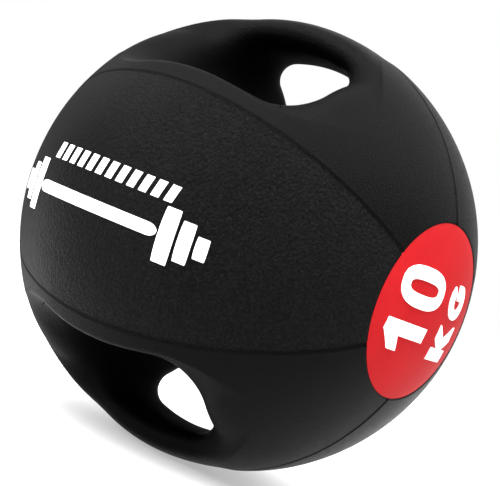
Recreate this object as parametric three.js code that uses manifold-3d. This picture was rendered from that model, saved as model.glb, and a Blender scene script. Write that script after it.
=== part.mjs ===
// Rubber medicine ball, 10 kg, with two grips moulded in opposite each other.
//
// Frame, in millimetres: the origin is the middle of the small flat that the ball rests on. +Z runs
// up through the middles of both grips, X joins the centres of the two red discs, and the front
// panel faces -Y. All shapes below are drawn about the ball's centre, and the group lifts them.

import * as THREE from 'three';
import { mergeVertices } from 'three/addons/utils/BufferGeometryUtils.js';
import Module from 'manifold-3d';

// Ball and cover
const BALL_RADIUS = 137.5;
const COVER_THICKNESS = 6;
const FIT_GAP = 0.3;
const SEAM_GAP = 0.8;
const REST_FLAT_DEPTH = 1.2;
const BALL_STEPS = 36;
const CURVE_STEPS = 6;

// Finger tunnels
const TUNNEL_HALF_LENGTH = 66.5;
const TUNNEL_FLOOR_HEIGHT = 78;
const TUNNEL_CORNER_WIDTH = 22;
const TUNNEL_CORNER_HEIGHT = 19;
const LINER_THICKNESS = 4;

// Grip bars
const GRIP_INNER_RADIUS = 114;
const GRIP_HALF_WIDTH = 33;
const GRIP_EDGE_ROUND = 13;
const GRIP_ROOT_LENGTH = 19;
const GRIP_ROOT_HEIGHT = 18;
const GRIP_ROOT_OVERLAP = 2;
const GRIP_HALF_ANGLE = THREE.MathUtils.degToRad(47);
const ANCHOR_START_ANGLE = THREE.MathUtils.degToRad(42);
const ANCHOR_INNER_RADIUS = 104;
const ANCHOR_HALF_WIDTH = 40;
const STIFFENER_INNER_RADIUS = 119;
const STIFFENER_THICKNESS = 7;
const STIFFENER_HALF_WIDTH = 18;
const STIFFENER_SLOT_HALF_ANGLE = THREE.MathUtils.degToRad(60);

// Red discs and their marks
const DISC_HALF_ANGLE = THREE.MathUtils.degToRad(22.5);
const DISC_STEP = 0.4;
const MARK_BASE_STEP = 0.1;
const MARK_PROUD = 0.5;
const MARK_CURVE_STEPS = 8;

// Air cell and valve
const BLADDER_RADIUS = 62;
const BLADDER_THICKNESS = 2;
const BLADDER_STEPS = 24;
const VALVE_STEPS = 16;
const VALVE_STEM_RADIUS = 6;
const VALVE_BORE_RADIUS = 2;
const VALVE_FLANGE_RADIUS = 11;
const VALVE_FLANGE_THICKNESS = 2.5;
const VALVE_FLANGE_TOP = 57;
const VALVE_SEAT_RADIUS = 4.8;
const VALVE_PLUG_RADIUS = 4.5;
const VALVE_PLUG_LENGTH = 8;
const VALVE_DIMPLE_RADIUS = 1.4;
const VALVE_DIMPLE_DEPTH = 1.2;
const VALVE_PLUG_INSET = 0.8;

const REACH = 200;
const COVER_INNER_RADIUS = BALL_RADIUS - COVER_THICKNESS;
const BODY_RADIUS = COVER_INNER_RADIUS - FIT_GAP;
const DISC_RADIUS = BALL_RADIUS * Math.sin(DISC_HALF_ANGLE);

const wasm = await Module();
wasm.setup();

// A closed three.js geometry as a solid that can be joined and cut.
function solid(geometry) {
  const source = geometry.index ? geometry.toNonIndexed() : geometry.clone();
  source.deleteAttribute('normal');
  source.deleteAttribute('uv');
  const merged = mergeVertices(source);
  return new wasm.Manifold(new wasm.Mesh({
    numProp: 3,
    vertProperties: Float32Array.from(merged.attributes.position.array),
    triVerts: Uint32Array.from(merged.index.array),
  }));
}

function rubber(color, roughness) {
  return new THREE.MeshStandardMaterial({ color, roughness, metalness: 0 });
}

const materials = {
  cover: rubber(0x232324, 0.62),
  grip: rubber(0x1d1d1e, 0.6),
  liner: rubber(0x141415, 0.75),
  disc: rubber(0xd02b30, 0.5),
  mark: rubber(0xf4f3f0, 0.5),
  ballast: rubber(0x2c2a28, 0.9),
  bladder: rubber(0x38302c, 0.7),
  stiffener: rubber(0xcfc9b8, 0.45),
  valve: rubber(0x111112, 0.5),
};

const ball = new THREE.Group();
ball.position.z = BALL_RADIUS - REST_FLAT_DEPTH;

function addPiece(name, shape, material) {
  const mesh = shape.getMesh();
  const geometry = new THREE.BufferGeometry();
  geometry.setAttribute('position', new THREE.BufferAttribute(Float32Array.from(mesh.vertProperties), 3));
  geometry.setIndex(new THREE.BufferAttribute(Uint32Array.from(mesh.triVerts), 1));
  geometry.computeVertexNormals();
  const piece = new THREE.Mesh(geometry, material);
  piece.name = name;
  ball.add(piece);
}

// Spheres have their poles on the X axis, where the red discs are.
function sphere(radius, steps) {
  return solid(new THREE.SphereGeometry(radius, steps, steps / 2).rotateZ(-Math.PI / 2));
}

// The outline's points are (y, z), and the prism runs along X.
function prismAlongX(outline, start, end) {
  const geometry = new THREE.ExtrudeGeometry(outline, { depth: end - start, bevelEnabled: false });
  const turn = new THREE.Matrix4().makeBasis(
    new THREE.Vector3(0, 1, 0),
    new THREE.Vector3(0, 0, 1),
    new THREE.Vector3(1, 0, 0),
  );
  return solid(geometry.translate(0, 0, start).applyMatrix4(turn));
}

// The outline's points are (x, z), and the prism runs along Y, centred.
function prismAlongY(outline, halfLength) {
  const options = { depth: 2 * halfLength, bevelEnabled: false, curveSegments: CURVE_STEPS };
  const geometry = new THREE.ExtrudeGeometry(outline, options);
  return solid(geometry.translate(0, 0, -halfLength).rotateX(Math.PI / 2));
}

// A ring about the Y axis from a closed profile of (radius, y) points.
function ringAboutY(profile) {
  return solid(new THREE.LatheGeometry([...profile, profile[0]], BALL_STEPS));
}

function rectangleProfile(innerRadius, outerRadius, halfWidth) {
  return [
    new THREE.Vector2(innerRadius, -halfWidth),
    new THREE.Vector2(outerRadius, -halfWidth),
    new THREE.Vector2(outerRadius, halfWidth),
    new THREE.Vector2(innerRadius, halfWidth),
  ];
}

// Everything within halfAngle of +Z, seen along Y.
function fanAlongY(halfAngle) {
  const outline = new THREE.Shape();
  const run = REACH * Math.tan(halfAngle);
  outline.moveTo(0, 0);
  outline.lineTo(run, REACH);
  outline.lineTo(-run, REACH);
  return prismAlongY(outline, REACH);
}

// --- Finger tunnel and grip, drawn for the upper side ---

// The tunnel seen along Y: a floor that arches like the ball, round corners and upright end walls.
// grow moves the floor and the walls outwards.
function tunnelOutline(grow) {
  const wall = TUNNEL_HALF_LENGTH + grow;
  const floorHeight = TUNNEL_FLOOR_HEIGHT - grow;
  const floorAt = (x) => floorHeight * Math.sqrt(1 - (x / BALL_RADIUS) ** 2);
  const cornerStart = wall - TUNNEL_CORNER_WIDTH;
  const cornerTop = floorAt(wall) + TUNNEL_CORNER_HEIGHT;
  const floorSteps = 8;
  const outline = new THREE.Shape();
  outline.moveTo(-wall, REACH);
  outline.lineTo(-wall, cornerTop);
  outline.quadraticCurveTo(-wall, floorAt(wall), -cornerStart, floorAt(cornerStart));
  for (let i = 1; i < floorSteps; i += 1) {
    const x = cornerStart * (2 * i / floorSteps - 1);
    outline.lineTo(x, floorAt(x));
  }
  outline.lineTo(cornerStart, floorAt(cornerStart));
  outline.quadraticCurveTo(wall, floorAt(wall), wall, cornerTop);
  outline.lineTo(wall, REACH);
  return outline;
}

// Section of the grip bar: flat underside, round lower edges, and cut to the ball above.
function gripProfile(grow) {
  const inner = GRIP_INNER_RADIUS - grow;
  const half = GRIP_HALF_WIDTH + grow;
  const round = GRIP_EDGE_ROUND;
  const roundSteps = 4;
  const profile = [new THREE.Vector2(REACH, -half)];
  profile.push(new THREE.Vector2(REACH, half));
  for (let i = 0; i <= roundSteps; i += 1) {
    const angle = (i / roundSteps) * Math.PI / 2;
    const radius = inner + round * (1 - Math.sin(angle));
    profile.push(new THREE.Vector2(radius, half - round * (1 - Math.cos(angle))));
  }
  for (let i = roundSteps; i >= 0; i -= 1) {
    const angle = (i / roundSteps) * Math.PI / 2;
    const radius = inner + round * (1 - Math.sin(angle));
    profile.push(new THREE.Vector2(radius, -half + round * (1 - Math.cos(angle))));
  }
  return profile;
}

// The filled corners where the bar's underside meets the tunnel's end walls.
function gripRoots(grow) {
  const wall = TUNNEL_HALF_LENGTH;
  const cornerZ = Math.sqrt(GRIP_INNER_RADIUS ** 2 - wall ** 2);
  const inX = wall - GRIP_ROOT_LENGTH;
  const inZ = Math.sqrt(GRIP_INNER_RADIUS ** 2 - inX ** 2);
  const halfWidth = GRIP_HALF_WIDTH - GRIP_EDGE_ROUND / 2 + grow;
  const outline = new THREE.Shape();
  outline.moveTo(wall + GRIP_ROOT_OVERLAP, cornerZ - GRIP_ROOT_HEIGHT - grow);
  outline.quadraticCurveTo(wall - grow, cornerZ - grow, inX, inZ - grow);
  outline.lineTo(inX + GRIP_ROOT_OVERLAP, inZ + GRIP_ROOT_OVERLAP);
  outline.lineTo(wall + GRIP_ROOT_OVERLAP, inZ + GRIP_ROOT_OVERLAP);
  const root = prismAlongY(outline, halfWidth);
  return root.add(root.mirror([1, 0, 0]));
}

function gripBody(grow) {
  const bar = ringAboutY(gripProfile(grow)).intersect(fanAlongY(GRIP_HALF_ANGLE + grow / BALL_RADIUS));
  const foot = ringAboutY(rectangleProfile(ANCHOR_INNER_RADIUS - grow, REACH, ANCHOR_HALF_WIDTH + grow));
  const feet = foot
    .intersect(fanAlongY(GRIP_HALF_ANGLE + grow / BALL_RADIUS))
    .subtract(fanAlongY(ANCHOR_START_ANGLE - grow / BALL_RADIUS));
  return bar.add(gripRoots(grow)).add(feet);
}

function stiffenerBody(grow, halfAngle) {
  const inner = STIFFENER_INNER_RADIUS - grow;
  const outer = STIFFENER_INNER_RADIUS + STIFFENER_THICKNESS + grow;
  const ring = ringAboutY(rectangleProfile(inner, outer, STIFFENER_HALF_WIDTH + grow));
  return ring.intersect(fanAlongY(halfAngle));
}

const tunnel = prismAlongY(tunnelOutline(0), REACH);
const recess = tunnel.subtract(gripBody(0));
const linerSpace = prismAlongY(tunnelOutline(LINER_THICKNESS + FIT_GAP), REACH);
const gripSpace = gripBody(FIT_GAP);
const bodyBall = sphere(BODY_RADIUS, BALL_STEPS);

// --- Whole-ball cutters ---

const lowerSide = (shape) => shape.mirror([0, 0, 1]);
const recesses = recess.add(lowerSide(recess));
const discCut = solid(new THREE.CylinderGeometry(DISC_RADIUS, DISC_RADIUS, 2 * REACH, BALL_STEPS)
  .rotateZ(Math.PI / 2));
const valveCut = solid(new THREE.CylinderGeometry(
  VALVE_STEM_RADIUS + FIT_GAP,
  VALVE_STEM_RADIUS + FIT_GAP,
  REACH,
  VALVE_STEPS,
).translate(0, REACH / 2, 0));
const restFlatBox = new THREE.BoxGeometry(2 * REACH, 2 * REACH, REACH);
const restFlatZ = REST_FLAT_DEPTH - BALL_RADIUS;
const restCut = solid(restFlatBox.translate(0, 0, restFlatZ - REACH / 2));

// --- Cover panels: sixths of the shell, counted round X from the upper front one ---

const coverShell = sphere(BALL_RADIUS, BALL_STEPS)
  .subtract(sphere(COVER_INNER_RADIUS, BALL_STEPS))
  .subtract(discCut)
  .subtract(recesses)
  .subtract(valveCut)
  .subtract(restCut);

function panelWedge(middleAngle, halfSpan) {
  const direction = (angle) => new THREE.Vector2(-Math.sin(angle), Math.cos(angle));
  const apex = direction(middleAngle).multiplyScalar(SEAM_GAP / 2 / Math.sin(halfSpan));
  const outline = new THREE.Shape([
    apex,
    direction(middleAngle + halfSpan).multiplyScalar(REACH).add(apex),
    direction(middleAngle - halfSpan).multiplyScalar(REACH).add(apex),
  ]);
  return prismAlongX(outline, -REACH, REACH);
}

const panelNames = [
  'upper_front_cover',
  'front_cover',
  'lower_front_cover',
  'lower_back_cover',
  'back_cover',
  'upper_back_cover',
];
const panelHalfSpan = Math.PI / panelNames.length;
panelNames.forEach((name, index) => {
  const wedge = panelWedge((2 * index + 1) * panelHalfSpan, panelHalfSpan);
  addPiece(name, coverShell.intersect(wedge), materials.cover);
});

// --- Grip bars, their stiffeners and the tunnel liners ---

const gripBar = gripBody(0)
  .intersect(bodyBall)
  .subtract(stiffenerBody(FIT_GAP, STIFFENER_SLOT_HALF_ANGLE));
const stiffener = stiffenerBody(0, GRIP_HALF_ANGLE);
const liner = prismAlongY(tunnelOutline(LINER_THICKNESS), REACH)
  .subtract(tunnel)
  .intersect(bodyBall)
  .subtract(gripSpace);

for (const [side, place] of [['upper', (shape) => shape], ['lower', lowerSide]]) {
  addPiece(`${side}_grip_bar`, place(gripBar), materials.grip);
  addPiece(`${side}_grip_stiffener`, place(stiffener), materials.stiffener);
  addPiece(`${side}_tunnel_liner`, place(liner), materials.liner);
}

// --- Ballast halves around the air cell ---

const airCell = sphere(BLADDER_RADIUS + FIT_GAP, BLADDER_STEPS);
const aboveMiddle = solid(new THREE.BoxGeometry(2 * REACH, 2 * REACH, REACH)
  .translate(0, 0, REACH / 2 + FIT_GAP / 2));
const upperBallast = bodyBall
  .intersect(aboveMiddle)
  .subtract(airCell)
  .subtract(linerSpace)
  .subtract(gripSpace)
  .subtract(valveCut);
addPiece('upper_ballast_half', upperBallast, materials.ballast);
addPiece('lower_ballast_half', lowerSide(upperBallast), materials.ballast);

// --- Air bladder and valve ---

const bladder = sphere(BLADDER_RADIUS, BLADDER_STEPS)
  .subtract(sphere(BLADDER_RADIUS - BLADDER_THICKNESS, BLADDER_STEPS))
  .subtract(valveCut);
addPiece('air_bladder', bladder, materials.bladder);

function latheAboutY(points) {
  return solid(new THREE.LatheGeometry(points.map(([r, y]) => new THREE.Vector2(r, y)), VALVE_STEPS));
}

const plugTop = BALL_RADIUS - VALVE_PLUG_INSET;
const seatFloor = plugTop - VALVE_PLUG_LENGTH;
const flangeBottom = VALVE_FLANGE_TOP - VALVE_FLANGE_THICKNESS;
addPiece('valve_stem', latheAboutY([
  [VALVE_BORE_RADIUS, flangeBottom],
  [VALVE_FLANGE_RADIUS, flangeBottom],
  [VALVE_FLANGE_RADIUS, VALVE_FLANGE_TOP],
  [VALVE_STEM_RADIUS, VALVE_FLANGE_TOP],
  [VALVE_STEM_RADIUS, BALL_RADIUS],
  [VALVE_SEAT_RADIUS, BALL_RADIUS],
  [VALVE_SEAT_RADIUS, seatFloor],
  [VALVE_BORE_RADIUS, seatFloor],
  [VALVE_BORE_RADIUS, flangeBottom],
]), materials.valve);

addPiece('valve_plug', latheAboutY([
  [0, seatFloor + FIT_GAP],
  [VALVE_PLUG_RADIUS, seatFloor + FIT_GAP],
  [VALVE_PLUG_RADIUS, plugTop],
  [VALVE_DIMPLE_RADIUS, plugTop],
  [0, plugTop - VALVE_DIMPLE_DEPTH],
]), materials.valve);

// --- Red discs with their figures and unit letters ---

// Each glyph is drawn in a box `width` by `height`, from its lower left corner.
function glyphOne(width, height) {
  const stemLeft = width * 0.5;
  const topLeft = width * 0.6;
  const flagTop = height * 0.74;
  const flagBottom = height * 0.54;
  const flagRoot = height * 0.66;
  return new THREE.Shape([
    new THREE.Vector2(stemLeft, 0),
    new THREE.Vector2(width, 0),
    new THREE.Vector2(width, height),
    new THREE.Vector2(topLeft, height),
    new THREE.Vector2(0, flagTop),
    new THREE.Vector2(0, flagBottom),
    new THREE.Vector2(stemLeft, flagRoot),
  ]);
}

function glyphZero(width, height) {
  const counterHalfWidth = width * 0.16;
  const counterHalfHeight = height * 0.32;
  const outline = new THREE.Shape();
  outline.absellipse(width / 2, height / 2, width / 2, height / 2, 0, 2 * Math.PI);
  const counter = new THREE.Path();
  counter.absellipse(width / 2, height / 2, counterHalfWidth, counterHalfHeight, 0, 2 * Math.PI);
  outline.holes.push(counter);
  return outline;
}

function glyphK(width, height) {
  const stem = width * 0.34;
  const legLeft = width * 0.59;
  const crotch = width * 0.62;
  const armLeft = width * 0.57;
  const armRight = width * 0.96;
  const legJoin = height * 0.36;
  const crotchHeight = height * 0.54;
  const armJoin = height * 0.66;
  return new THREE.Shape([
    new THREE.Vector2(0, 0),
    new THREE.Vector2(stem, 0),
    new THREE.Vector2(stem, legJoin),
    new THREE.Vector2(legLeft, 0),
    new THREE.Vector2(width, 0),
    new THREE.Vector2(crotch, crotchHeight),
    new THREE.Vector2(armRight, height),
    new THREE.Vector2(armLeft, height),
    new THREE.Vector2(stem, armJoin),
    new THREE.Vector2(stem, height),
    new THREE.Vector2(0, height),
  ]);
}

// A round stroke, open on the right, that ends in a bar which runs in to the middle.
function glyphG(width, height) {
  const stroke = 0.3 * height;
  const middleX = width / 2;
  const middleY = height / 2;
  const mouthTop = THREE.MathUtils.degToRad(42);
  const mouthBottom = THREE.MathUtils.degToRad(322);
  const innerEnd = THREE.MathUtils.degToRad(324);
  const barTop = height * 0.55;
  const barBottom = height * 0.36;
  const barRight = width * 0.98;
  const outline = new THREE.Shape();
  outline.absellipse(middleX, middleY, width / 2, height / 2, mouthTop, mouthBottom);
  outline.lineTo(barRight, barTop);
  outline.lineTo(middleX, barTop);
  outline.lineTo(middleX, barBottom);
  outline.absellipse(middleX, middleY, width / 2 - stroke, height / 2 - stroke, innerEnd, mouthTop, true);
  return outline;
}

const marks = [
  { name: 'figure_one', glyph: glyphOne, left: -25, bottom: 7, width: 17, height: 34 },
  { name: 'figure_zero', glyph: glyphZero, left: 1, bottom: 3, width: 23.5, height: 38 },
  { name: 'unit_k', glyph: glyphK, left: -24, bottom: -28.5, width: 22, height: 21 },
  { name: 'unit_g', glyph: glyphG, left: 1.5, bottom: -28.5, width: 22, height: 21 },
];

// The marks read upwards, along +Z, with their tops towards the front of the ball.
const markTurn = new THREE.Matrix4().makeBasis(
  new THREE.Vector3(0, 0, 1),
  new THREE.Vector3(0, -1, 0),
  new THREE.Vector3(1, 0, 0),
);
const markSkin = sphere(BALL_RADIUS + MARK_PROUD, BALL_STEPS)
  .subtract(sphere(BALL_RADIUS - MARK_BASE_STEP, BALL_STEPS));

function markBody({ glyph, left, bottom, width, height }) {
  const options = { depth: REACH, bevelEnabled: false, curveSegments: MARK_CURVE_STEPS };
  const geometry = new THREE.ExtrudeGeometry(glyph(width, height), options);
  return solid(geometry.translate(left, bottom, 0).applyMatrix4(markTurn)).intersect(markSkin);
}

const plugCut = solid(new THREE.CylinderGeometry(
  DISC_RADIUS - FIT_GAP,
  DISC_RADIUS - FIT_GAP,
  REACH,
  BALL_STEPS,
).rotateZ(Math.PI / 2).translate(REACH / 2, 0, 0));
const disc = sphere(BALL_RADIUS - DISC_STEP, BALL_STEPS)
  .subtract(sphere(COVER_INNER_RADIUS, BALL_STEPS))
  .intersect(plugCut);

for (const [side, angle] of [['right', 0], ['left', 180]]) {
  addPiece(`${side}_weight_disc`, disc.rotate([0, 0, angle]), materials.disc);
  for (const mark of marks) {
    addPiece(`${side}_${mark.name}`, markBody(mark).rotate([0, 0, angle]), materials.mark);
  }
}

export default ball;
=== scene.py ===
"""Looks for the double grip medicine ball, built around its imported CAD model."""

import math

import bmesh
import bpy
import numpy as np
from mathutils import Matrix, Vector


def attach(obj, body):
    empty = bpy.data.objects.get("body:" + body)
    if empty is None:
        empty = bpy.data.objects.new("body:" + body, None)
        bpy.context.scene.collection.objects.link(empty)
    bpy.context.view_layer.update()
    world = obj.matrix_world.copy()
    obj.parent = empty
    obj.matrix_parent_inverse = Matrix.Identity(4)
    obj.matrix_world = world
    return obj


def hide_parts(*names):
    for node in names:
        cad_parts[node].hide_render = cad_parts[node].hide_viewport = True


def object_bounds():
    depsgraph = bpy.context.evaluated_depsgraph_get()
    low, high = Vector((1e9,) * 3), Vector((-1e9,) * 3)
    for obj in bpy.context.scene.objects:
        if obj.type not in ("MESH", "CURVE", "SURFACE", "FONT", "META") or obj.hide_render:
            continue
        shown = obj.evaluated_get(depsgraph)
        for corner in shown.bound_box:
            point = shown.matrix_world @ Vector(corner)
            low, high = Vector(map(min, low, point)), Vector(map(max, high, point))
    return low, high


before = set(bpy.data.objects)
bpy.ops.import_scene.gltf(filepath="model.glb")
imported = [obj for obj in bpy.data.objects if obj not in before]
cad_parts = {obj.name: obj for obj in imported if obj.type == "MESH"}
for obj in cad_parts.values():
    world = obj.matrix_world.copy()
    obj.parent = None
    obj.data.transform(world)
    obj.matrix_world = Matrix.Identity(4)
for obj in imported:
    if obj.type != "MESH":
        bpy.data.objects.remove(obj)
cad_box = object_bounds()

# All shapes are worked out in millimetres about the ball's centre, then moved into the frame.
MM = 0.001
RIM_DEPTH = 1.0
VALVE_CLEARANCE = 0.3


def node_points(name):
    """The corners of a CAD node, in millimetres about the ball's centre."""
    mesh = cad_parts[name].data
    points = np.empty(len(mesh.vertices) * 3)
    mesh.vertices.foreach_get("co", points)
    return (points.reshape(-1, 3) - np.array(CENTRE)) / MM


def rim_radius(name):
    """The radius about Y of the end of a turned CAD node that is nearest the ball's surface."""
    points = node_points(name)
    rim = points[points[:, 1] > points[:, 1].max() - RIM_DEPTH]
    return float(np.hypot(rim[:, 0], rim[:, 2]).max()) + VALVE_CLEARANCE


# --- Sizes taken from the frame ---

cad_low = Vector(cad_box[0])
cad_high = Vector(cad_box[1])
R = (cad_high.y - cad_low.y) / 2 / MM
CENTRE = Vector((0, 0, cad_high.z - R * MM))
REST_Z = -CENTRE.z / MM
DISC_RADIUS = float(node_points("right_weight_disc")[:, 1].max())
VALVE_RADIUS = rim_radius("valve_stem")

# --- Shape of the recesses and the grips, for the upper right quarter, which is mirrored ---

FLOOR_TOP = 78.9
FLOOR_ARCH_RADIUS = 158.0
FLOOR_ARCH_END = 95.0
FLOOR_LIP_ROUND = 1.6
WALL_X = 43.9
WALL_LEAN = -0.13
WALL_LIP_ROUND = 45.2
WALL_CORNER_ROUND = 21.5
GRIP_INNER = 115.2
GRIP_HALF_WIDTH = 27.8
GRIP_WAIST_END = 50.5
GRIP_FLARE_RADIUS = 85.7
GRIP_FLARE_SHARE = 0.97
GRIP_POWER = 2.25
GRIP_FILLET = 17.4
GRIP_SHOULDER_ROUND = 3.4

# --- Seams, edges and mesh fineness ---

GRID_STEP = 1.6
SHARP_ANGLE = math.radians(48)
SEAM_HALF_GAP = 0.08
SEAM_DEPTH = 0.55
SEAM_SPREAD = 0.85
EDGE_LINES = (0.08, 0.5, 0.8, 1.2, 1.7, 2.5)
VALVE_LINES = (0, 0.3, 0.7)
LIP_RISE = 0.10
LIP_PLACE = 1.9
LIP_SPREAD = 0.6
DISC_EDGE_DEPTH = 0.45
DISC_EDGE_SPREAD = 0.6
VALVE_EDGE_DEPTH = 0.35
VALVE_EDGE_SPREAD = 0.5
WAVE_DEPTH = 0.12
WAVE_COUNTS = ((7.1, 3.0), (6.3, -2.1), (5.7, 1.3))
PANEL_SPAN = 60
FIT_GAP = 0.3
GRIP_CORE_INNER = 110.0
GRIP_CORE_HALF_WIDTH = 44.0
LINER_THICKNESS = 4.0
COVER_THICKNESS = 6.0

# --- Discs, marks and print ---

DISC_GAP = 0.35
DISC_ROLL = 0.5
MARK_SUNK = 0.3
MARK_BEVEL = 0.16
PRINT_SUNK = 0.25
PRINT_RISE = 0.12
PRINT_BEVEL = 0.06
PLATE_CELL = 2.5
PLATE_WELD = 0.002


# --- The ball's outer surface as a distance field ---

def soft_union(a, b, radius):
    """Distance to the union of two shapes, with a round fillet between them."""
    inside_round = np.hypot(np.maximum(radius - a, 0), np.maximum(radius - b, 0))
    return np.maximum(radius, np.minimum(a, b)) - inside_round


def soft_cut(a, b, radius):
    """Distance to the overlap of two shapes, with a rounded edge between them."""
    return -soft_union(-a, -b, radius)


def grip_field(x, y, z, ball):
    """A bar that follows the ball's curve, with an oval section that widens at its roots."""
    middle = (GRIP_INNER + R) / 2
    half_height = (R - GRIP_INNER) / 2
    along = np.clip(x - GRIP_WAIST_END, 0, GRIP_FLARE_RADIUS * GRIP_FLARE_SHARE)
    flare = np.sqrt(GRIP_FLARE_RADIUS ** 2 - along ** 2)
    half_width = GRIP_HALF_WIDTH + GRIP_FLARE_RADIUS - flare
    spread = np.where(along > 0, along / flare, 0)
    across = np.abs(np.hypot(x, z) - middle) / half_height
    side = y / half_width
    least_level = 1e-6
    least_slope = 1e-4
    level = (across ** GRIP_POWER + side ** GRIP_POWER) ** (1 / GRIP_POWER)
    safe = np.maximum(level, least_level)
    slope_across = (across / safe) ** (GRIP_POWER - 1) / half_height
    slope_side = (side / safe) ** (GRIP_POWER - 1) / half_width
    slope = np.sqrt(slope_across ** 2 + slope_side ** 2 * (1 + (side * spread) ** 2))
    return soft_cut((level - 1) / np.maximum(slope, least_slope), ball, GRIP_SHOULDER_ROUND)


def body_field(points):
    """Signed distance to the ball with both recesses cut and both grips in place."""
    x, y, z = np.abs(points).T
    ball = np.linalg.norm(points, axis=1) - R
    arch_x = np.minimum(x, FLOOR_ARCH_END)
    arch_z = FLOOR_TOP - arch_x ** 2 / (2 * FLOOR_ARCH_RADIUS)
    floor = (z - arch_z) / np.sqrt(1 + (arch_x / FLOOR_ARCH_RADIUS) ** 2)
    wall = (WALL_X + WALL_LEAN * (z - FLOOR_TOP) - x) / math.hypot(1, WALL_LEAN)
    below_floor = soft_cut(ball, floor, FLOOR_LIP_ROUND)
    beyond_wall = soft_cut(ball, wall, WALL_LIP_ROUND)
    hollowed = soft_union(below_floor, beyond_wall, WALL_CORNER_ROUND)
    grip = grip_field(x, y, z, ball)
    return np.maximum(soft_union(hollowed, grip, GRIP_FILLET), ball)


def field_gradient(points, step=0.2):
    gradient = np.empty_like(points)
    for axis in range(3):
        offset = np.zeros(3)
        offset[axis] = step
        gradient[:, axis] = body_field(points + offset) - body_field(points - offset)
    return gradient / (2 * step)


def onto_surface(points):
    """Moves points along the field's slope until they lie on the surface."""
    rounds = 4
    least_slope = 0.05
    for _ in range(rounds):
        gradient = field_gradient(points)
        length_squared = np.maximum((gradient ** 2).sum(axis=1), least_slope)
        shift = np.clip(body_field(points) / length_squared, -GRID_STEP, GRID_STEP)
        points = points - gradient * shift[:, None]
    return points


# --- Meshing ---

def sampled_field():
    """The field on a cubic grid, worked out for one eighth of the ball and mirrored."""
    count = int(math.ceil(R / GRID_STEP)) + 2
    line = (np.arange(count) + 0.5) * GRID_STEP
    grid = np.stack(np.meshgrid(line, line, line, indexing="ij"), axis=-1).reshape(-1, 3)
    values = body_field(grid).reshape(count, count, count)
    for axis in range(3):
        values = np.concatenate([np.flip(values, axis), values], axis)
    return values, -line[-1]


def surface_mesh():
    """A triangle mesh of the field's zero surface, one point in each grid cell that it crosses."""
    values, low = sampled_field()
    inside = values < 0
    cells = np.array(values.shape) - 1
    total = np.zeros((cells.prod(), 3))
    crossings = np.zeros(cells.prod())
    quads = []
    for axis in range(3):
        near = np.take(inside, range(0, cells[axis]), axis)
        far = np.take(inside, range(1, cells[axis] + 1), axis)
        edge = np.argwhere(near != far)
        step = np.zeros(3, int)
        step[axis] = 1
        start = values[tuple(edge.T)]
        end = values[tuple((edge + step).T)]
        point = edge + step * (start / (start - end))[:, None]
        leaving = inside[tuple(edge.T)]
        side_a = np.roll(step, 1)
        side_b = np.roll(step, 2)
        corners = []
        for shift in (side_a * 0, side_a, side_a + side_b, side_b):
            cell = edge - shift
            index = (cell[:, 0] * cells[1] + cell[:, 1]) * cells[2] + cell[:, 2]
            np.add.at(total, index, point)
            np.add.at(crossings, index, 1)
            corners.append(index)
        quad = np.stack(corners, axis=1)
        quad[~leaving] = quad[~leaving][:, ::-1]
        quads.append(quad)
    quads = np.concatenate(quads)
    used, quads = np.unique(quads, return_inverse=True)
    quads = quads.reshape(-1, 4)
    points = onto_surface(total[used] / crossings[used][:, None] * GRID_STEP + low)
    triangles = np.concatenate([quads[:, [0, 1, 2]], quads[:, [0, 2, 3]]])
    return points, triangles


def cut_along(points, triangles, field, snap=0.12):
    """Splits the triangles along the line where field(points) is zero.

    Corners within snap of the line are moved onto it first.
    """
    reach = 0.05
    least_slope = 0.1
    value = field(points)
    near = np.abs(value) < snap
    slope = np.empty((near.sum(), 3))
    for axis in range(3):
        offset = np.zeros(3)
        offset[axis] = reach
        rise = field(points[near] + offset) - field(points[near] - offset)
        slope[:, axis] = rise / (2 * reach)
    length_squared = np.maximum((slope ** 2).sum(axis=1), least_slope)
    points = points.copy()
    points[near] -= slope * (value[near] / length_squared)[:, None]
    value = np.where(near, 0, value)
    sign = np.sign(value[triangles])
    crossed = (sign.max(axis=1) > 0) & (sign.min(axis=1) < 0)
    kept = triangles[~crossed]
    split = triangles[crossed]
    sign = sign[crossed]
    edges = np.sort(np.concatenate([split[:, [0, 1]], split[:, [1, 2]], split[:, [2, 0]]]), axis=1)
    edges = np.unique(edges[value[edges[:, 0]] * value[edges[:, 1]] < 0], axis=0)
    share = value[edges[:, 0]] / (value[edges[:, 0]] - value[edges[:, 1]])
    new = points[edges[:, 0]] + (points[edges[:, 1]] - points[edges[:, 0]]) * share[:, None]
    key = edges[:, 0] * len(points) + edges[:, 1]

    def middle(a, b):
        wanted = np.minimum(a, b) * len(points) + np.maximum(a, b)
        return len(points) + np.searchsorted(key, wanted)

    pieces = [kept]
    # One corner on the line and one on each side: two triangles.
    on_line = (sign == 0).any(axis=1)
    first = np.argmax(sign[on_line] == 0, axis=1)
    a, b, c = rolled(split[on_line], first)
    m = middle(b, c)
    pieces += [np.stack([a, b, m], axis=1), np.stack([a, m, c], axis=1)]
    # One corner alone on its side: three triangles.
    sides = sign[~on_line]
    alone = np.argmax(sides == -np.sign(sides.sum(axis=1))[:, None], axis=1)
    a, b, c = rolled(split[~on_line], alone)
    m = middle(a, b)
    n = middle(a, c)
    pieces += [np.stack(t, axis=1) for t in ((a, m, n), (m, b, c), (m, c, n))]
    return np.concatenate([points, new]), np.concatenate(pieces)


def rolled(triangles, first):
    """The triangles' corners, starting from corner number first and in the same turn."""
    rows = np.arange(len(triangles))
    return [triangles[rows, (first + k) % 3] for k in range(3)]


# --- Places on the surface ---

def from_seam(points):
    """Distance to the nearest of the six seams, which are a sixth of a turn apart about X."""
    angle = np.arctan2(points[:, 1], points[:, 2])
    spacing = math.radians(PANEL_SPAN)
    off = angle - np.round(angle / spacing) * spacing
    return np.hypot(points[:, 1], points[:, 2]) * np.abs(np.sin(off))


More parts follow.
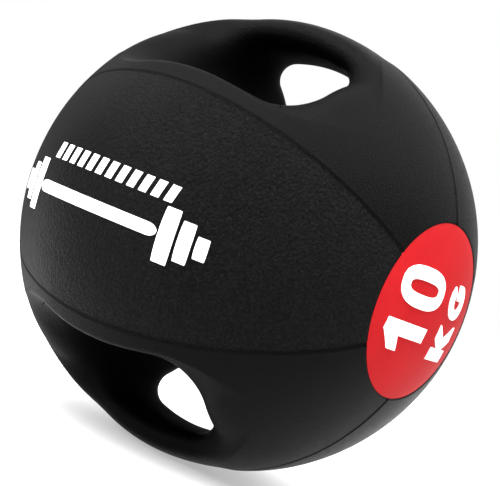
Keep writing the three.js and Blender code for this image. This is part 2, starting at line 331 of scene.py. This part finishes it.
def across_seam(points):
    """Like from_seam, with a sign that changes at each seam."""
    angle = np.arctan2(points[:, 1], points[:, 2])
    return np.hypot(points[:, 1], points[:, 2]) * np.sin(3 * angle) / 3


def from_disc(points):
    """Distance outside the edge of the weight discs, measured square to X."""
    return np.hypot(points[:, 1], points[:, 2]) - DISC_RADIUS


def from_valve(points):
    """Distance outside the hole for the valve, which is in the middle of the back."""
    outside = np.hypot(points[:, 0], points[:, 2]) - VALVE_RADIUS
    return np.where(points[:, 1] > 0, outside, R)


def in_cover(points):
    """Height above the inner face of the cover panels."""
    return np.linalg.norm(points, axis=1) - (R - COVER_THICKNESS)


def in_grip(points):
    """Positive on the grips' cores, and negative on the tunnels around them."""
    rise = np.hypot(points[:, 0], points[:, 2]) - GRIP_CORE_INNER
    return np.minimum(rise, GRIP_CORE_HALF_WIDTH - np.abs(points[:, 1]))


def on_skin(points):
    """Whether points are above the inner face of the cover, or up to a millimetre below it."""
    return np.linalg.norm(points, axis=1) > R - COVER_THICKNESS - 1


def only_skin(field):
    """The field on the outer skin, and a plain positive value elsewhere."""
    return lambda points: np.where(on_skin(points), field(points), 1.0)


def cut_surface():
    """The whole surface, split along every seam and edge."""
    points, triangles = surface_mesh()
    cuts = [only_skin(across_seam)]
    cuts += [only_skin(lambda p, d=d: from_seam(p) - d) for d in EDGE_LINES]
    cuts += [lambda p, d=d: from_disc(p) - d for d in (0,) + EDGE_LINES[:4]]
    cuts += [lambda p, d=d: from_valve(p) - d for d in VALVE_LINES]
    cuts += [in_cover]
    cuts += [lambda p: np.where(on_skin(p) & (in_cover(p) > 0), 1.0, in_grip(p))]
    for field in cuts:
        points, triangles = cut_along(points, triangles, field)
    return points, triangles


def relief(points):
    """How far the skin lies below the plain shape: rolled edges, and slight waves of cast rubber."""
    seam = SEAM_DEPTH * np.exp(-(from_seam(points) / SEAM_SPREAD) ** 2)
    lip = LIP_RISE * np.exp(-((from_seam(points) - LIP_PLACE) / LIP_SPREAD) ** 2)
    disc = DISC_EDGE_DEPTH * np.exp(-(np.maximum(from_disc(points), 0) / DISC_EDGE_SPREAD) ** 2)
    valve = VALVE_EDGE_DEPTH * np.exp(-(np.maximum(from_valve(points), 0) / VALVE_EDGE_SPREAD) ** 2)
    x, y, z = (points / R).T
    first, second, third = WAVE_COUNTS
    waves = (
        np.sin(first[0] * x + first[1] * y)
        * np.sin(second[0] * y + second[1] * z)
        * np.sin(third[0] * z + third[1] * x)
    )
    return np.where(on_skin(points), seam - lip + disc + valve, 0) + WAVE_DEPTH * (1 + waves)


# --- Solid pieces from parts of the surface ---

def vertex_normals(points, triangles):
    a, b, c = (points[triangles[:, k]] for k in range(3))
    face = np.cross(b - a, c - a)
    normals = np.zeros_like(points)
    for k in range(3):
        np.add.at(normals, triangles[:, k], face)
    return normals / np.maximum(np.linalg.norm(normals, axis=1), 1e-9)[:, None]


def open_edges(triangles):
    """The edges that only one triangle uses, in that triangle's direction."""
    edges = np.concatenate([triangles[:, [0, 1]], triangles[:, [1, 2]], triangles[:, [2, 0]]])
    forward = edges[:, 0] * (triangles.max() + 1) + edges[:, 1]
    backward = edges[:, 1] * (triangles.max() + 1) + edges[:, 0]
    return edges[~np.isin(forward, backward)]


def to_object(name, points, faces, material, front_normals=()):
    """A smooth-shaded mesh object. front_normals are the corner normals of its first faces."""
    mesh = bpy.data.meshes.new(name)
    placed = np.asarray(points) * MM + np.array(CENTRE)
    mesh.from_pydata(placed.tolist(), [], [list(map(int, f)) for f in faces])
    changed = mesh.validate()
    mesh.shade_smooth()
    mesh.set_sharp_from_angle(angle=SHARP_ANGLE)
    if len(front_normals) and not changed:
        corners = np.zeros((len(mesh.loops), 3))
        corners[:len(front_normals)] = front_normals
        mesh.normals_split_custom_set(corners.tolist())
    mesh.materials.append(material)
    piece = bpy.data.objects.new(name, mesh)
    bpy.context.scene.collection.objects.link(piece)
    return piece


def solid_piece(name, points, normals, triangles, back, material):
    """A closed piece: part of the surface, the same part moved to back(points, normals), and sides."""
    front_normals = normals[triangles.reshape(-1)]
    used, triangles = np.unique(triangles, return_inverse=True)
    triangles = triangles.reshape(-1, 3)
    front = points[used]
    rear = back(front, normals[used])
    edge = open_edges(triangles)
    count = len(front)
    sides = np.concatenate([
        np.stack([edge[:, 1], edge[:, 0], edge[:, 0] + count], axis=1),
        np.stack([edge[:, 1], edge[:, 0] + count, edge[:, 1] + count], axis=1),
    ])
    faces = np.concatenate([triangles, triangles[:, ::-1] + count, sides])
    return to_object(name, np.concatenate([front, rear]), faces, material, front_normals)


def finished(piece, slot, *nodes):
    """Puts a piece on the ball's body in place of its CAD nodes, which it hides. The slot argument is
    not used.
    """
    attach(piece, "root")
    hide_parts(*nodes)
    return piece


def sunk(depth):
    """Straight towards the ball's centre."""
    return lambda points, normals: points * (1 - depth / R)


def thickened(depth):
    """Into the rubber, square to the surface."""
    return lambda points, normals: points - normals * depth


def cored(points, normals):
    """Half of the way to the curve through the middle of the grip."""
    along = np.arctan2(points[:, 0], np.abs(points[:, 2]))
    middle = (GRIP_INNER + R) / 2
    core = np.column_stack([
        middle * np.sin(along),
        np.clip(points[:, 1], -GRIP_HALF_WIDTH / 2, GRIP_HALF_WIDTH / 2),
        middle * np.cos(along) * np.sign(points[:, 2]),
    ])
    return (points + core) / 2


def make_body(materials):
    """The six cover panels, the two tunnel liners and the two grip cores."""
    points, triangles = cut_surface()
    middle = points[triangles].mean(axis=1)
    normals = vertex_normals(points, triangles)
    points = points - normals * relief(points)[:, None]
    points[:, 2] = np.maximum(points[:, 2], REST_Z)
    normals = vertex_normals(points, triangles)
    skin = in_cover(middle) > 0
    gone = (from_seam(middle) < SEAM_HALF_GAP) | (from_disc(middle) < 0) | (from_valve(middle) < 0)
    turn = np.degrees(np.arctan2(-middle[:, 1], middle[:, 2])) % 360
    names = (
        "upper_front_cover",
        "front_cover",
        "lower_front_cover",
        "lower_back_cover",
        "back_cover",
        "upper_back_cover",
    )
    for index, name in enumerate(names):
        mine = skin & ~gone & (turn // PANEL_SPAN == index)
        finish = "panel_rubber" if name in ("front_cover", "back_cover") else "side_rubber"
        piece = solid_piece(name + "_skin", points, normals, triangles[mine],
                            sunk(COVER_THICKNESS - FIT_GAP), materials[finish])
        finished(piece, "cover_rubber", name)
    core = in_grip(middle) > 0
    for side, sign in (("upper", 1), ("lower", -1)):
        here = ~skin & (middle[:, 2] * sign > 0)
        grip = solid_piece(f"{side}_grip_core", points, normals, triangles[here & core], cored,
                           materials["grip_rubber"])
        finished(grip, "grip_rubber", f"{side}_grip_bar")
        liner = solid_piece(f"{side}_tunnel_skin", points, normals, triangles[here & ~core],
                            thickened(LINER_THICKNESS), materials["tunnel_rubber"])
        finished(liner, "tunnel_rubber", f"{side}_tunnel_liner")


# --- Turned pieces ---

def turned(name, profile, axis, steps, material):
    """A closed turned piece from (radius, height) points that start and end on the axis."""
    angles = np.arange(steps) * 2 * math.pi / steps
    ring = np.stack([np.cos(angles), np.sin(angles)], axis=1)
    rows = [np.column_stack([ring * radius, np.full(steps, height)]) for radius, height in profile]
    points = np.concatenate([[[0, 0, profile[0][1]]], *rows[1:-1], [[0, 0, profile[-1][1]]]])
    last = len(points) - 1
    faces = []
    for k in range(steps):
        after = (k + 1) % steps
        faces.append((0, 1 + after, 1 + k))
        for row in range(len(profile) - 3):
            base = 1 + row * steps
            faces.append((base + k, base + after, base + steps + after, base + steps + k))
        faces.append((last, last - steps + k, last - steps + after))
    turn = np.array(Vector(axis).to_track_quat("Z", "Y").to_matrix())
    return to_object(name, points @ turn.T, faces, material)


def disc_profile(top, bottom, radius, roll):
    """A dished plate that follows the ball, with its rim rolled over."""
    back_steps = 12
    roll_steps = 6
    front_steps = 40
    profile = [(0, bottom)]
    inner = radius - DISC_GAP
    for k in range(1, back_steps + 1):
        r = inner * k / back_steps
        profile.append((r, math.sqrt(bottom ** 2 - r ** 2)))
    rim = math.sqrt(top ** 2 - inner ** 2)
    for k in range(roll_steps + 1):
        angle = k / roll_steps * math.pi / 2
        profile.append((inner - roll + roll * math.cos(angle), rim - roll + roll * math.sin(angle)))
    for k in range(front_steps - 1, -1, -1):
        r = (inner - roll) * k / front_steps
        profile.append((r, math.sqrt(top ** 2 - r ** 2)))
    return profile


def make_discs(materials):
    """The two red discs."""
    rim_steps = 180
    for side, sign in (("right", 1), ("left", -1)):
        reach = np.linalg.norm(node_points(f"{side}_weight_disc"), axis=1)
        profile = disc_profile(reach.max(), reach.min(), DISC_RADIUS, DISC_ROLL)
        disc = turned(f"{side}_disc_plate", profile, (sign, 0, 0), rim_steps,
                      materials["disc_rubber"])
        finished(disc, "disc_rubber", f"{side}_weight_disc")


# --- Raised and printed marks: flat outlines laid over the ball ---

def arc(centre, radii, start, end, steps=24):
    """Points on an oval, from start to end in degrees."""
    angles = np.radians(np.linspace(start, end, steps))
    return [(centre[0] + radii[0] * math.cos(a), centre[1] + radii[1] * math.sin(a)) for a in angles]


def outline_one():
    stem_left, top_left = 0.5, 0.6
    flag_top, flag_bottom, flag_root = 0.74, 0.54, 0.66
    return [[(stem_left, 0), (1, 0), (1, 1), (top_left, 1), (0, flag_top), (0, flag_bottom),
             (stem_left, flag_root)]]


def outline_zero():
    def oval(half_width, half_height, power):
        angles = np.linspace(0, 2 * math.pi, 72, endpoint=False)
        c, s = np.cos(angles), np.sin(angles)
        x = 0.5 + half_width * np.sign(c) * np.abs(c) ** power
        y = 0.5 + half_height * np.sign(s) * np.abs(s) ** power
        return list(zip(x, y))
    return [oval(0.5, 0.5, 0.8), oval(0.165, 0.35, 0.7)]


def outline_k():
    stem, leg_left, crotch = 0.34, 0.59, (0.62, 0.54)
    arm_left, arm_right = 0.575, 0.96
    leg_join, arm_join = 0.36, 0.66
    return [[(0, 0), (stem, 0), (stem, leg_join), (leg_left, 0), (1, 0), crotch, (arm_right, 1),
             (arm_left, 1), (stem, arm_join), (stem, 1), (0, 1)]]


def outline_g():
    mouth_top, mouth_bottom, inner_end, steps = 42, 322, -36, 60
    bar_left, bar_right, bar_bottom, bar_top, bar_foot = 0.52, 0.94, 0.36, 0.55, 0.3
    outer = arc((0.5, 0.5), (0.5, 0.5), mouth_top, mouth_bottom, steps)
    inner = arc((0.5, 0.5), (0.23, 0.24), inner_end, mouth_top - 360, steps)
    bar = [(bar_right, bar_foot), (bar_right, bar_top), (bar_left, bar_top), (bar_left, bar_bottom)]
    return [outer + bar + inner]


def plate(name, outlines, size, thickness, bevel, to_ball, material):
    """A thin plate with bevelled edges from unit outlines, laid over the ball by to_ball(s, t, h)."""
    curve = bpy.data.curves.new(name, "CURVE")
    curve.dimensions = "2D"
    curve.fill_mode = "BOTH"
    curve.extrude = thickness / 2 - bevel
    curve.bevel_depth = bevel
    curve.bevel_resolution = 2
    curve.offset = -bevel
    for outline in outlines:
        spline = curve.splines.new("POLY")
        spline.points.add(len(outline) - 1)
        for point, (s, t) in zip(spline.points, outline):
            point.co = (s * size[0], t * size[1], 0, 1)
        spline.use_cyclic_u = True
    holder = bpy.data.objects.new(name, curve)
    bpy.context.scene.collection.objects.link(holder)
    bpy.context.view_layer.update()
    flat = bpy.data.meshes.new_from_object(holder.evaluated_get(bpy.context.evaluated_depsgraph_get()))
    bpy.data.objects.remove(holder)
    bm = bmesh.new()
    bm.from_mesh(flat)
    bmesh.ops.remove_doubles(bm, verts=bm.verts, dist=PLATE_WELD)
    for axis in range(2):
        normal = Vector((1 - axis, axis, 0))
        lows = min(v.co[axis] for v in bm.verts)
        highs = max(v.co[axis] for v in bm.verts)
        count = max(int((highs - lows) / PLATE_CELL), 1)
        for k in range(1, count):
            spot = normal * (lows + (highs - lows) * k / count)
            everything = bm.verts[:] + bm.edges[:] + bm.faces[:]
            bmesh.ops.bisect_plane(bm, geom=everything, plane_co=spot, plane_no=normal)
    bmesh.ops.triangulate(bm, faces=bm.faces)
    bm.verts.index_update()
    flat_points = np.array([v.co for v in bm.verts])
    faces = [[v.index for v in f.verts] for f in bm.faces]
    bm.free()
    height = flat_points[:, 2] + thickness / 2
    placed = to_ball(flat_points[:, 0], flat_points[:, 1], height)
    return to_object(name, placed, faces, material)


def make_disc_marks(materials):
    """The figures and unit letters that stand on the two discs."""
    glyphs = {
        "figure_one": outline_one,
        "figure_zero": outline_zero,
        "unit_k": outline_k,
        "unit_g": outline_g,
    }
    for side, sign in (("right", 1), ("left", -1)):
        disc_top = np.linalg.norm(node_points(f"{side}_weight_disc"), axis=1).max()
        for mark, outline in glyphs.items():
            corners = node_points(f"{side}_{mark}")
            top = np.linalg.norm(corners, axis=1).max()
            low, high = corners.min(axis=0), corners.max(axis=0)
            bottom = low[1] if sign < 0 else -high[1]

            def to_ball(s, t, h):
                along = low[2] + s
                up = bottom + t
                reach = disc_top - MARK_SUNK + h
                return np.column_stack([
                    sign * np.sqrt(reach ** 2 - along ** 2 - up ** 2),
                    -sign * up,
                    along,
                ])

            size = (high[2] - low[2], high[1] - low[1])
            piece = plate(f"{side}_{mark}_raised", outline(), size, top - disc_top + MARK_SUNK,
                          MARK_BEVEL, to_ball, materials["mark_rubber"])
            finished(piece, "mark_rubber", f"{side}_{mark}")


def front_print_shapes():
    """A row of slanted dashes above a bar with plates: name, outline, left, bottom, width, height."""
    slanted = [[(0, 0), (0.72, 0), (1, 1), (0.28, 1)]]
    left_end = arc((0.06, 0.5), (0.06, 0.5), 90, 270, 12)
    right_end = arc((0.94, 0.5), (0.06, 0.5), -90, 90, 12)
    rounded = [left_end + right_end]
    shapes = []
    dashes = 12
    row_left = -57.5
    row_bottom = 5.5
    row_height = 9.5
    pitch = 97.0 / dashes
    for k in range(dashes):
        left = row_left + k * pitch
        shapes.append((f"print_dash_{k + 1}", slanted, left, row_bottom, pitch * 0.84, row_height))
    middle_x = -14
    middle_z = -11.5
    bar_half = 48
    bar_thick = 7
    shapes.append(("print_bar", rounded, middle_x - bar_half, middle_z - bar_thick / 2,
                   2 * bar_half, bar_thick))
    plates = ((49, 9, 30), (60, 7.5, 22), (69.5, 6.5, 12))
    for k, (inner, thick, height) in enumerate(plates, 1):
        bottom = middle_z - height / 2
        right = middle_x + inner
        left = middle_x - inner - thick
        shapes.append((f"print_plate_right_{k}", rounded, right, bottom, thick, height))
        shapes.append((f"print_plate_left_{k}", rounded, left, bottom, thick, height))
    return shapes


def make_front_print(materials):
    """The print on the front panel, which has no CAD node of its own."""
    for name, outline, left, bottom, width, height in front_print_shapes():
        def to_ball(s, t, h):
            x = left + s
            z = bottom + t
            reach = R - PRINT_SUNK + h
            return np.column_stack([x, -np.sqrt(reach ** 2 - x ** 2 - z ** 2), z])

        piece = plate(name, outline, (width, height), PRINT_SUNK + PRINT_RISE, PRINT_BEVEL,
                      to_ball, materials["print_ink"])
        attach(piece, "root")


# --- Materials ---

class Nodes:
    """A short way to write a node material."""

    def __init__(self, name, roughness, specular):
        self.material = bpy.data.materials.new(name)
        self.material.use_nodes = True
        self.tree = self.material.node_tree
        self.shader = self.tree.nodes["Principled BSDF"]
        self.shader.inputs["Roughness"].default_value = roughness
        self.shader.inputs["Specular IOR Level"].default_value = specular
        self.place = self.tree.nodes.new("ShaderNodeTexCoord").outputs["Object"]

    def link(self, source, target):
        self.tree.links.new(source, target)

    def noise(self, size, detail=3.0, roughness=0.55, distortion=0.0):
        """Noise with features about `size` metres across."""
        node = self.tree.nodes.new("ShaderNodeTexNoise")
        self.link(self.place, node.inputs["Vector"])
        node.inputs["Scale"].default_value = 1 / size
        node.inputs["Detail"].default_value = detail
        node.inputs["Roughness"].default_value = roughness
        node.inputs["Distortion"].default_value = distortion
        return node.outputs["Fac"]

    def cells(self, size, feature="F1", smoothness=None):
        """Cells about `size` metres across: distance to the cell's middle."""
        node = self.tree.nodes.new("ShaderNodeTexVoronoi")
        node.feature = feature
        self.link(self.place, node.inputs["Vector"])
        node.inputs["Scale"].default_value = 1 / size
        if smoothness is not None:
            node.inputs["Smoothness"].default_value = smoothness
        return node.outputs["Distance"]

    def from_centre(self):
        """Distance from the ball's centre, as a share of its radius."""
        node = self.tree.nodes.new("ShaderNodeVectorMath")
        node.operation = "DISTANCE"
        self.link(self.place, node.inputs[0])
        node.inputs[1].default_value = CENTRE
        return self.math("DIVIDE", node.outputs["Value"], R * MM)

    def across(self):
        """0 at the ball's left side, 0.5 in the middle and 1 at the right side."""
        node = self.tree.nodes.new("ShaderNodeSeparateXYZ")
        self.link(self.place, node.inputs[0])
        return self.math("ADD", self.math("DIVIDE", node.outputs["X"], 2 * R * MM), 0.5)

    def ramp(self, value, low, high, low_at=0.0, high_at=1.0):
        """A grey value or colour that runs from low to high as value goes from low_at to high_at."""
        node = self.tree.nodes.new("ShaderNodeValToRGB")
        self.link(value, node.inputs["Fac"])
        elements = node.color_ramp.elements
        elements[0].position = low_at
        elements[1].position = high_at
        elements[0].color = as_colour(low)
        elements[1].color = as_colour(high)
        return node.outputs["Color"]

    def math(self, operation, a, b):
        """A Math node. a and b are sockets or plain numbers."""
        node = self.tree.nodes.new("ShaderNodeMath")
        node.operation = operation
        for socket, value in zip(node.inputs, (a, b)):
            if isinstance(value, (int, float)):
                socket.default_value = value
            else:
                self.link(value, socket)
        return node.outputs[0]

    def bump(self, height, distance, strength=1.0):
        node = self.tree.nodes.new("ShaderNodeBump")
        node.inputs["Distance"].default_value = distance
        if isinstance(strength, (int, float)):
            node.inputs["Strength"].default_value = strength
        else:
            self.link(strength, node.inputs["Strength"])
        self.link(height, node.inputs["Height"])
        return node.outputs["Normal"]

    def finish(self, colour, roughness, normal):
        self.link(colour, self.shader.inputs["Base Color"])
        self.link(roughness, self.shader.inputs["Roughness"])
        self.link(normal, self.shader.inputs["Normal"])
        return self.material


def as_colour(value):
    if isinstance(value, (int, float)):
        return (value, value, value, 1)
    return (*value, 1)


def grained_rubber(name, dark, light, smooth, rough, grain, depth, specular, left_grain_and_sparkle):
    """Black cast rubber with a leathery grain, slight colour clouds and light specks.

    The left side of the ball is rougher, and the last argument is the share of the grain's strength
    there. The light specks in the colour take that share too, so they are brighter on the right
    side: partly speckled rubber and partly a painted sparkle where the side light's glints fall.
    Deep down in the tunnels the colour is darker, a painted shade for the recesses, and the
    surface rougher.
    """
    m = Nodes(name, rough, specular)
    strength = m.ramp(m.across(), left_grain_and_sparkle, 1.0, 0.35, 0.62)
    clouds = m.noise(0.045, 4, 0.6)
    fine = m.noise(grain * 0.35, 3, 0.7)
    # Light specks of the grain, scaled by the grain strength so they are brighter towards the right
    # side: part speckled rubber, part painted sparkle where the side light's glints fall.
    specks = m.math("MULTIPLY", m.ramp(m.noise(grain * 0.9, 2, 0.8), 0.0, 1.0, 0.46, 0.62), strength)
    mixed = m.math("ADD", m.math("MULTIPLY", clouds, 0.4), m.math("MULTIPLY", specks, 0.6))
    # Painted shade: the colour darkens to a fifth of its value below 0.82 of the radius, so the
    # tunnels and grip roots deep in the recesses look shaded.
    mixed = m.math("MULTIPLY", mixed, m.ramp(m.from_centre(), 0.2, 1.0, 0.82, 0.94))
    colour = m.ramp(mixed, dark, light, 0.1, 0.8)
    rough = m.ramp(m.noise(grain * 0.8, 2, 0.6), smooth, rough, 0.4, 0.6)
    rough = m.math("MAXIMUM", rough, m.ramp(m.from_centre(), 1.0, 0.2, 0.80, 0.95))
    rough = m.math("MAXIMUM", rough, m.ramp(m.across(), 0.85, 0.2, 0.08, 0.42))
    pebbles = m.cells(grain, "SMOOTH_F1", 0.6)
    leather = m.math("ADD", m.math("MULTIPLY", pebbles, 0.7), m.math("MULTIPLY", fine, 0.6))
    return m.finish(colour, rough, m.bump(leather, depth, strength))


def plain_rubber(name, dark, light, roughness, grain, depth, specular=0.4):
    """Smooth moulded rubber or ink with slight mottling."""
    m = Nodes(name, roughness, specular)
    clouds = m.noise(0.02, 4, 0.6)
    fine = m.noise(grain, 3, 0.6)
    mixed = m.math("ADD", m.math("MULTIPLY", clouds, 0.6), m.math("MULTIPLY", fine, 0.4))
    colour = m.ramp(mixed, dark, light, 0.3, 0.7)
    rough = m.ramp(fine, roughness - 0.08, roughness + 0.08, 0.3, 0.7)
    return m.finish(colour, rough, m.bump(fine, depth))


def crumb_rubber(name):
    """Pressed rubber crumb, for the ballast."""
    m = Nodes(name, 0.9, 0.2)
    crumbs = m.cells(0.0035)
    tint = m.noise(0.004, 2)
    colour = m.ramp(tint, (0.012, 0.011, 0.010), (0.055, 0.048, 0.042), 0.35, 0.7)
    return m.finish(colour, m.ramp(crumbs, 0.7, 0.95), m.bump(crumbs, 0.0008))


def fibre_nylon(name):
    """Glass-filled nylon with a faint flow pattern."""
    m = Nodes(name, 0.42, 0.5)
    flow = m.noise(0.012, 5, 0.7, 1.5)
    colour = m.ramp(flow, (0.46, 0.42, 0.33), (0.62, 0.58, 0.48), 0.3, 0.7)
    fine = m.noise(0.0006, 2)
    return m.finish(colour, m.ramp(flow, 0.36, 0.5, 0.3, 0.7), m.bump(fine, 0.00008))


def make_materials():
    black = dict(dark=0.0001, specular=0.034)
    smooth_black = dict(black, light=0.0008, smooth=0.30, rough=0.44, grain=0.0009,
                        depth=0.0004, left_grain_and_sparkle=1)
    return {
        # On the front and back panels the grain, and the painted sparkle of the light specks, fall to
        # 0.3 of their strength on the left side.
        "panel_rubber": grained_rubber("panel_rubber", light=0.0034, smooth=0.20, rough=0.42,
                                       grain=0.0017, depth=0.0013, left_grain_and_sparkle=0.3, **black),
        "side_rubber": grained_rubber("side_rubber", **smooth_black),
        "grip_rubber": grained_rubber("grip_rubber", **smooth_black),
        "tunnel_rubber": grained_rubber("tunnel_rubber", **smooth_black),
        "disc_rubber": plain_rubber("disc_rubber", (0.27, 0.006, 0.008), (0.33, 0.009, 0.011),
                                    roughness=0.5, grain=0.0009, depth=0.00014, specular=0.03),
        "mark_rubber": plain_rubber("mark_rubber", 0.82, 0.93,
                                    roughness=0.5, grain=0.0015, depth=0.00005),
        "print_ink": plain_rubber("print_ink", 0.80, 0.90,
                                  roughness=0.55, grain=0.0012, depth=0.00004),
        "ballast_rubber": crumb_rubber("ballast_rubber"),
        "bladder_rubber": plain_rubber("bladder_rubber", (0.030, 0.020, 0.016),
                                       (0.060, 0.042, 0.034),
                                       roughness=0.6, grain=0.002, depth=0.0001),
        "stiffener_nylon": fibre_nylon("stiffener_nylon"),
        "valve_rubber": plain_rubber("valve_rubber", 0.007, 0.012,
                                     roughness=0.45, grain=0.0008, depth=0.00004),
    }


def dress_inner_nodes(materials):
    """Better materials for the CAD nodes that stay as they are."""
    slots = {
        "upper_ballast_half": "ballast_rubber",
        "lower_ballast_half": "ballast_rubber",
        "air_bladder": "bladder_rubber",
        "upper_grip_stiffener": "stiffener_nylon",
        "lower_grip_stiffener": "stiffener_nylon",
        "valve_stem": "valve_rubber",
        "valve_plug": "valve_rubber",
    }
    for node, slot in slots.items():
        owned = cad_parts[node].data.materials
        owned.clear()
        owned.append(materials[slot])


# --- Studio. Places are in ball radii from the ball's centre ---

CAMERA_AZIMUTH = math.radians(34.4)
CAMERA_ELEVATION = math.radians(0.66)
CAMERA_ROLL = math.radians(21.57)
CAMERA_LENS = 111.336
CAMERA_OFFSET = (0.0049, -0.0047, 6.8141)
SENSOR_WIDTH = 36
FLOOR_HALF = 40.0
FLOOR_GREY = 0.6
FLOOR_GLOW = 0.4


def make_camera():
    """Nearly level with the ball's middle, right of the front, and rolled to the left."""
    turn = (
        Matrix.Rotation(CAMERA_AZIMUTH, 3, "Z")
        @ Matrix.Rotation(math.pi / 2 - CAMERA_ELEVATION, 3, "X")
        @ Matrix.Rotation(CAMERA_ROLL, 3, "Z")
    )
    data = bpy.data.cameras.new("camera")
    data.sensor_width = SENSOR_WIDTH
    data.lens = CAMERA_LENS
    camera = bpy.data.objects.new("camera", data)
    bpy.context.scene.collection.objects.link(camera)
    offset = Vector(CAMERA_OFFSET) * R * MM
    camera.matrix_world = Matrix.Translation(CENTRE + turn @ offset) @ turn.to_4x4()
    bpy.context.scene.camera = camera


def make_light(name, place, size, power):
    """A square soft box that faces the ball."""
    data = bpy.data.lights.new(name, "AREA")
    data.size = size
    data.energy = power
    light = bpy.data.objects.new(name, data)
    bpy.context.scene.collection.objects.link(light)
    light.location = CENTRE + Vector(place) * R * MM
    light.rotation_euler = (CENTRE - light.location).to_track_quat("-Z", "Y").to_euler()


def make_floor():
    half = FLOOR_HALF
    corners = [(-half, -half, 0), (half, -half, 0), (half, half, 0), (-half, half, 0)]
    mesh = bpy.data.meshes.new("floor")
    mesh.from_pydata(corners, [], [(0, 1, 2, 3)])
    floor = bpy.data.objects.new("floor", mesh)
    bpy.context.scene.collection.objects.link(floor)
    material = bpy.data.materials.new("floor")
    material.use_nodes = True
    shader = material.node_tree.nodes["Principled BSDF"]
    shader.inputs["Base Color"].default_value = as_colour(FLOOR_GREY)
    shader.inputs["Roughness"].default_value = 0.9
    shader.inputs["Specular IOR Level"].default_value = 0
    shader.inputs["Emission Color"].default_value = (1, 1, 1, 1)
    shader.inputs["Emission Strength"].default_value = FLOOR_GLOW
    mesh.materials.append(material)


def make_world():
    world = bpy.data.worlds.new("studio")
    world.use_nodes = True
    background = world.node_tree.nodes["Background"]
    background.inputs["Color"].default_value = (1, 1, 1, 1)
    background.inputs["Strength"].default_value = 1.0
    bpy.context.scene.world = world
    bpy.context.scene.view_settings.view_transform = "Standard"


make_camera()
make_world()
make_floor()
make_light("key_light", (-5.0, -5.0, 7.2), 1.6, 27)
make_light("side_light", (4.2, 3, 8.0), 1.0, 19)
make_light("front_light", (0.6, -6.0, 7.6), 1.2, 56)
materials = make_materials()
make_body(materials)
make_discs(materials)
make_disc_marks(materials)
make_front_print(materials)
dress_inner_nodes(materials)
